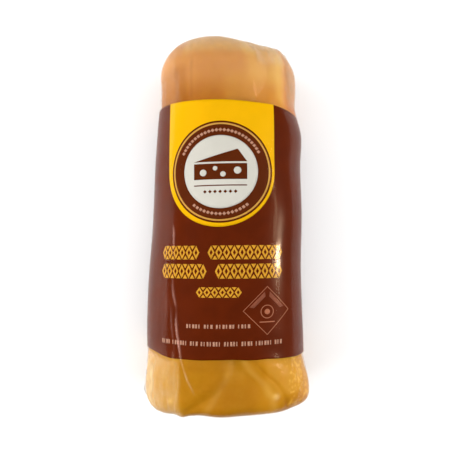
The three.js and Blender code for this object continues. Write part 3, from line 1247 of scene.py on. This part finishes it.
def add_print():
    """All printed fields, each a little above the one it lies on."""
    middle = (ROUNDEL_X, ROUNDEL_Y)
    pale_line = ring_shape(middle, RING_RADIUS, PALE_LINE_RADIUS, rows=2)
    dark_line = ring_shape(middle, PALE_LINE_RADIUS, DARK_LINE_RADIUS, rows=2)
    disc = ring_shape(middle, 0, DISC_RADIUS, rows=18)
    beads = joined(bead_shapes, BEAD_ARCS)
    wedge_at = (ROUNDEL_X, ROUNDEL_Y + 1.2)
    spans = [(y, half, *span) for y, half, spans in CHAINS for span in spans]
    make_print("print_panel", panel_shape(), YELLOW, PANEL_LIFT)
    make_print("print_dark_line", dark_line, DARK, RING_LIFT)
    make_print("print_pale_line", pale_line, PALE_GOLD, RING_LIFT)
    make_print("print_ring", ring_shape(middle, DISC_RADIUS, RING_RADIUS, rows=7), DARK, RING_LIFT)
    make_print("print_disc", disc, CREAM, RING_LIFT)
    make_print("print_beads", beads, ROSE, ART_LIFT)
    make_print("print_wedge", join_flat(wedge_shapes(*wedge_at)), DARK, ART_LIFT)
    make_print("print_wedge_holes", join_flat(wedge_holes(*wedge_at)), CREAM, HOLE_LIFT)
    make_print("print_chains", joined(chain_shapes, spans), GOLD, PLAIN_LIFT)
    make_print("print_ticks", joined(tick_shapes, TICK_ROWS), ROSE, PLAIN_LIFT)
    make_print("print_seal", join_flat(seal_shapes()), SEAL_LINE, PLAIN_LIFT)
    make_print("print_seal_bands", join_flat(seal_bands()), SEAL_BAND, PLAIN_LIFT)


add_print()

OVERLAP_LIFT = 0.07
OVERLAP_RINGS = 120


def make_overlap():
    """The label's free end, lying over the band on the underside."""
    angles = np.radians(np.linspace(262, 281, 40))
    near, far = label_edges(angles)
    share = np.linspace(0.002, 0.998, OVERLAP_RINGS)[:, None]
    y = near + (far - near) * share
    angle = np.broadcast_to(angles, y.shape)
    top = label_point(y, angle, LABEL_FACE - OVERLAP_LIFT).reshape(-1, 3)
    bottom = label_point(y, angle, LABEL_FACE + 0.01).reshape(-1, 3)
    faces = [tuple(reversed(face)) for face in grid_faces(OVERLAP_RINGS, len(angles))]
    make_piece("label_overlap", *closed_sheet(top, bottom, faces), BROWN, "label")


make_overlap()

# ---- End seals: the flat, crimped margins where the bag is welded shut ----

SEAL_RIB_PITCH = 0.6
SEAL_ROOT = 17
SEAL_THICKNESS = 0.14
SEAL_OVERLAP = 0.4
SEAL_RIB_HEIGHT = 0.05
# Waves along the fin: height, turns, and how far they shift towards its rim.
SEAL_WAVES = ((0.2, 23, 3), (0.1, 71, 0))
SEAL_STATIONS = 161
SEAL_COLUMNS = 9


def seal_line(sign, shares):
    """Points round one end, along the block's widest line, from left to right."""
    y = sign * (HALF_LENGTH - SEAL_ROOT + SEAL_ROOT * np.sin(math.pi * shares) ** 0.8)
    y = np.clip(y, -HALF_LENGTH + 0.02, HALF_LENGTH - 0.02)
    line = film_point(y, np.where(shares < 0.5, math.pi, 0.0))
    tip = film_point(np.array([sign * (HALF_LENGTH - 0.02)]), np.array([0.0]))
    line[len(line) // 2] = tip[0]
    return line


def seal_fin(name, sign, widths, levels):
    """A thin fin round one end. widths and levels are (share of the way from left
    to right, value) pairs: how far it stands out, and how far it is bent up."""
    shares = np.linspace(0, 1, SEAL_STATIONS)
    wide = np.interp(shares, *np.array(widths, float).T)
    level = np.interp(shares, *np.array(levels, float).T)
    line = seal_line(sign, shares)
    tangent = np.gradient(line, axis=0)
    outward = np.stack([tangent[:, 1], -tangent[:, 0], 0 * shares], -1) * sign * -1
    outward /= np.linalg.norm(outward, axis=-1, keepdims=True)
    layers = []
    for side in (0.5, -0.5):
        rows = []
        for column in np.linspace(0, 1, SEAL_COLUMNS):
            out = wide * column**0.5 - SEAL_OVERLAP * (1 - column)
            point = line + out[:, None] * outward
            wave = sum(high * np.sin(shares * n + shift * column) for high, n, shift in SEAL_WAVES)
            rib = SEAL_RIB_HEIGHT * np.sin(2 * np.pi * 2 * column / SEAL_RIB_PITCH)
            point += (side * SEAL_THICKNESS + rib) * outward
            point[:, 2] += level * column + wave * column * (wide > 0.05)
            rows.append(point)
        layers.append(np.stack(rows, 1).reshape(-1, 3))
    points, faces = closed_sheet(*layers, grid_faces(SEAL_STATIONS, SEAL_COLUMNS))
    if sign < 0:
        faces = [tuple(reversed(face)) for face in faces]
    make_piece(name, points, faces, FILM_SEAL, "film")


seal_fin(
    "film_seal_far",
    1,
    ((0, 0), (0.1, 0.3), (0.25, 0.5), (0.75, 0.6), (0.88, 2.2), (0.95, 1.4), (1, 0)),
    ((0, 0), (0.1, -1.2), (0.3, -2.2), (0.7, -1.8), (0.8, 0), (0.88, 3), (1, 0)),
)
seal_fin(
    "film_seal_near",
    -1,
    ((0, 0), (0.06, 0.4), (0.14, 0.8), (0.25, 0.5), (0.9, 0.5), (1, 0)),
    ((0, 0), (0.1, 0.6), (0.14, 1.4), (0.24, -1.2), (0.5, -2.4), (0.9, -1.6), (1, 0)),
)

# ---- Stage, lights and camera ----


def make_floor():
    material, _, shader = new_material("floor")
    set_inputs(shader, Base_Color=(0.98, 0.98, 0.98, 1), Roughness=0.9)
    set_inputs(shader, Specular_IOR_Level=0.1)
    mesh = bpy.data.meshes.new("floor")
    reach = 0.8
    mesh.from_pydata(
        [(-reach, -reach, 0), (reach, -reach, 0), (reach, reach, 0), (-reach, reach, 0)],
        [],
        [(0, 1, 2, 3)],
    )
    mesh.materials.append(material)
    floor = add_object("floor", mesh)


def posed(position, right, above, back):
    """A matrix at a position, from its three axes."""
    return Matrix.Translation(position) @ Matrix((right, above, back)).transposed().to_4x4()


def aimed(position):
    """A matrix at position whose -Z points at the middle of the block."""
    back = (Vector(position) - Vector((0, 0, 0.02))).normalized()
    side = Vector((0, 1, 0)).cross(back).normalized()
    return posed(position, side, back.cross(side), back)


def make_light(name, position, size, power, colour, only):
    """An area light aimed at the block; only is "diffuse" or "glossy" or None."""
    light = bpy.data.lights.new(name, "AREA")
    light.shape = "RECTANGLE"
    light.size, light.size_y = size
    light.energy = power
    light.color = colour
    lamp = add_object(name, light)
    lamp.matrix_world = aimed(position)
    lamp.visible_glossy = only != "diffuse"
    lamp.visible_diffuse = only != "glossy"


def make_world():
    """A pale ground, and a sky that fades from the horizon to a dark zenith."""
    world = bpy.data.worlds.new("studio")
    world.use_nodes = True
    tree = world.node_tree
    place = coordinates(tree, "Generated")
    level = mapped(tree, place["Z"], 0, 0.24, 0.55, 0.015)
    sideways = mapped(tree, place["X"], 0, 0.8, 1, 0.25)
    sky = mixed(tree, 1.0, level, sideways, "MULTIPLY")
    above = mapped(tree, place["Z"], -0.03, 0.03, 0, 1)
    whole = mixed(tree, above, (0.9, 0.9, 0.9), sky)
    set_inputs(tree.nodes["Background"], Color=whole)
    bpy.context.scene.world = world


# The camera stands above the block and looks down on it, turned and tilted a little.
CAMERA_PLACE = (-5.44, -13.44, 232.96)
CAMERA_PITCH = 0.0474
CAMERA_YAW = 0.0301
CAMERA_ROLL = -0.0081
FOCAL_LENGTH_PIXELS = 421.8
IMAGE_PIXELS = 453
SENSOR_MM = 36


def make_camera():
    forward = Vector((0, math.sin(CAMERA_PITCH), -math.cos(CAMERA_PITCH)))
    up = Vector((0, math.cos(CAMERA_PITCH), math.sin(CAMERA_PITCH)))
    right = Vector((1, 0, 0))
    cos_yaw, sin_yaw = math.cos(CAMERA_YAW), math.sin(CAMERA_YAW)
    right, forward = cos_yaw * right - sin_yaw * forward, cos_yaw * forward + sin_yaw * right
    cos_roll, sin_roll = math.cos(CAMERA_ROLL), math.sin(CAMERA_ROLL)
    right, up = cos_roll * right + sin_roll * up, cos_roll * up - sin_roll * right
    data = bpy.data.cameras.new("camera")
    data.sensor_width = SENSOR_MM
    data.lens = SENSOR_MM * FOCAL_LENGTH_PIXELS / IMAGE_PIXELS
    data.clip_start = 0.01
    camera = add_object("camera", data)
    camera.matrix_world = posed(Vector(CAMERA_PLACE) * MM, right, up, -forward)
    bpy.context.scene.camera = camera


make_floor()
make_world()
WHITE = (1, 1, 1)
WARM = (1, 0.7, 0.45)
AMBER = (1, 0.76, 0.54)
LIGHTS = (
    # name, place, size, power, colour, and what it lights if not everything
    ("overhead", (0, 0.1, 0.9), (1.2, 1.2), 7.2, WHITE, "diffuse"),
    ("left_box", (-0.72, 0, 0.4), (0.8, 0.9), 7.5, WHITE, "diffuse"),
    ("right_box", (0.72, 0, 0.4), (0.8, 0.9), 6.5, WHITE, "diffuse"),
    ("left_card", (-0.62, -0.05, 0.07), (0.1, 0.9), 0.25, WHITE, None),
    ("right_strip", (0.37, 0.056, 0.401), (0.05, 0.2), 0.16, WARM, "glossy"),
    ("right_card", (0.423, -0.081, 0.341), (0.05, 0.09), 0.06, WARM, "glossy"),
    ("right_patch", (0.43, -0.034, 0.337), (0.09, 0.018), 1.3, AMBER, "glossy"),
)
for light in LIGHTS:
    make_light(*light)
make_camera()
bpy.context.scene.view_settings.view_transform = "Standard"
